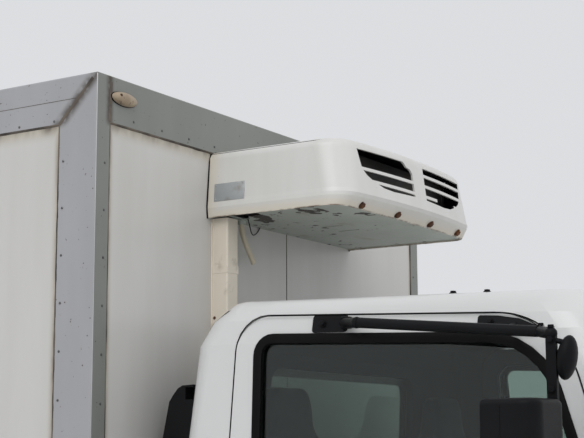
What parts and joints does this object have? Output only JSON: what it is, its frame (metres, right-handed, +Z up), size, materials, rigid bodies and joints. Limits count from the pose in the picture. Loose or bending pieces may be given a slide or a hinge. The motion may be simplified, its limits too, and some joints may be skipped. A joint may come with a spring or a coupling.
{
  "type": "refrigerated box truck",
  "caption": "Light refrigerated truck with a tilting cab-over cab, an insulated box and a nose-mounted cooling unit; doors, wheels and steering move.",
  "frame": {"origin": "on the ground under the middle of the truck's length and width", "axes": "+X forward, towards the cab; +Y the truck's left; +Z up"},
  "size_m": [6.3298, 2.59, 2.951],
  "materials": {
    "box_panel": "satin",
    "profile_aluminium": "satin",
    "cab_paint": "gloss",
    "hood_plastic": "gloss",
    "duct_plastic": "matte",
    "hose_plastic": "matte",
    "trim_plastic": "matte",
    "bumper_plastic": "matte",
    "cab_glass": "clear",
    "headlamp": "clear",
    "lamp_red": "clear",
    "lamp_clear": "aged",
    "coil_fins": "dusty",
    "chassis_paint": "satin",
    "cast_black": "rough",
    "galvanised": "dull",
    "rim_paint": "satin",
    "seat_cloth": "matte",
    "tyre": "matte"
  },
  "bodies": {
    "chassis": {"frame": "chassis_paint", "subframe": "galvanised", "front_bumper": "bumper_plastic", "front_axle": "cast_black", "leaf_springs": "cast_black", "rear_axle": "cast_black", "engine": "cast_black", "fuel_tank": "chassis_paint", "battery_box": "trim_plastic", "silencer": "galvanised", "mudguards": "trim_plastic", "side_guards": "galvanised", "rear_underrun": "chassis_paint", "tail_lamps": "lamp_red", "intake_snorkel": "trim_plastic", "box_floor": "box_panel", "box_side_walls": "box_panel", "box_front_wall": "box_panel", "box_roof": "box_panel", "box_profiles": "profile_aluminium", "rear_frame": "profile_aluminium", "marker_lamps": "lamp_clear", "unit_hood": "hood_plastic", "unit_base": "galvanised", "condenser_coil": "coil_fins", "evaporator": "hood_plastic", "hose_duct": "duct_plastic", "drain_hose": "hose_plastic"},
    "cab": {"cab_shell": "cab_paint", "cab_floor": "trim_plastic", "cab_glass": "cab_glass", "grille": "trim_plastic", "headlamps": "headlamp", "seats": "seat_cloth", "seat_frames": "trim_plastic", "dashboard": "trim_plastic"},
    "door_right": {"cab_door_right": "cab_paint", "door_glass_right": "cab_glass", "mirror_right": "trim_plastic"},
    "door_left": {"cab_door_left": "cab_paint", "door_glass_left": "cab_glass", "mirror_left": "trim_plastic"},
    "steering": {"steering_wheel": "trim_plastic"},
    "knuckle_right": {"knuckle_right": "cast_black"},
    "knuckle_left": {"knuckle_left": "cast_black"},
    "tie_rod": {"tie_rod": "cast_black"},
    "front_wheel_right": {"tyre_front_right": "tyre", "rim_front_right": "rim_paint"},
    "front_wheel_left": {"tyre_front_left": "tyre", "rim_front_left": "rim_paint"},
    "rear_wheel_right": {"tyre_rear_right": "tyre", "rim_rear_right": "rim_paint"},
    "rear_wheel_left": {"tyre_rear_left": "tyre", "rim_rear_left": "rim_paint"},
    "rear_leaf_right": {"rear_door_right": "box_panel", "door_gear_right": "galvanised"},
    "rear_leaf_left": {"rear_door_left": "box_panel", "door_gear_left": "galvanised"}
  },
  "joints": [
    {"name": "cab_tilt", "type": "hinge", "parent": "chassis", "child": "cab", "pos_m": [3.015, 0, 0.7], "axis": [0, 1, 0], "range_deg": [0, 45]},
    {"name": "door_right", "type": "hinge", "parent": "cab", "child": "door_right", "pos_m": [2.887, -0.999, 1.2], "axis": [0, 0, 1], "range_deg": [0, 70]},
    {"name": "door_left", "type": "hinge", "parent": "cab", "child": "door_left", "pos_m": [2.887, 0.999, 1.2], "axis": [0, 0, -1], "range_deg": [0, 70]},
    {"name": "steering_wheel", "type": "hinge", "parent": "cab", "child": "steering", "pos_m": [2.445, 0.57, 1.45], "axis": [-0.5299, 0, 0.848], "range_deg": [-640, 640]},
    {"name": "steer_left", "type": "hinge", "parent": "chassis", "child": "knuckle_left", "pos_m": [2.065, 0.7, 0.4], "axis": [0, 0, 1], "range_deg": [-35, 35]},
    {"name": "steer_right", "type": "hinge", "parent": "chassis", "child": "knuckle_right", "pos_m": [2.065, -0.7, 0.4], "axis": [0, 0, 1], "range_deg": [-35, 35]},
    {"name": "tie_rod_pivot", "type": "hinge", "parent": "knuckle_right", "child": "tie_rod", "pos_m": [1.915, -0.7, 0.299], "axis": [0, 0, 1], "range_deg": [-35, 35]},
    {"name": "front_wheel_right", "type": "hinge", "parent": "knuckle_right", "child": "front_wheel_right", "pos_m": [2.065, -0.825, 0.4], "axis": [0, 1, 0], "continuous": true},
    {"name": "front_wheel_left", "type": "hinge", "parent": "knuckle_left", "child": "front_wheel_left", "pos_m": [2.065, 0.825, 0.4], "axis": [0, 1, 0], "continuous": true},
    {"name": "rear_wheel_right", "type": "hinge", "parent": "chassis", "child": "rear_wheel_right", "pos_m": [-1.31, -0.7475, 0.4], "axis": [0, 1, 0], "continuous": true},
    {"name": "rear_wheel_left", "type": "hinge", "parent": "chassis", "child": "rear_wheel_left", "pos_m": [-1.31, 0.7475, 0.4], "axis": [0, 1, 0], "continuous": true},
    {"name": "rear_door_right", "type": "hinge", "parent": "chassis", "child": "rear_leaf_right", "pos_m": [-3.095, -1.12, 1.9], "axis": [0, 0, 1], "range_deg": [0, 260]},
    {"name": "rear_door_left", "type": "hinge", "parent": "chassis", "child": "rear_leaf_left", "pos_m": [-3.095, 1.12, 1.9], "axis": [0, 0, -1], "range_deg": [0, 260]}
  ],
  "couplings": [
    {"joint": "steering_wheel", "follows": "steer_left", "ratio": 18},
    {"joint": "steer_right", "follows": "steer_left", "ratio": 1},
    {"joint": "tie_rod_pivot", "follows": "steer_left", "ratio": -1}
  ]
}
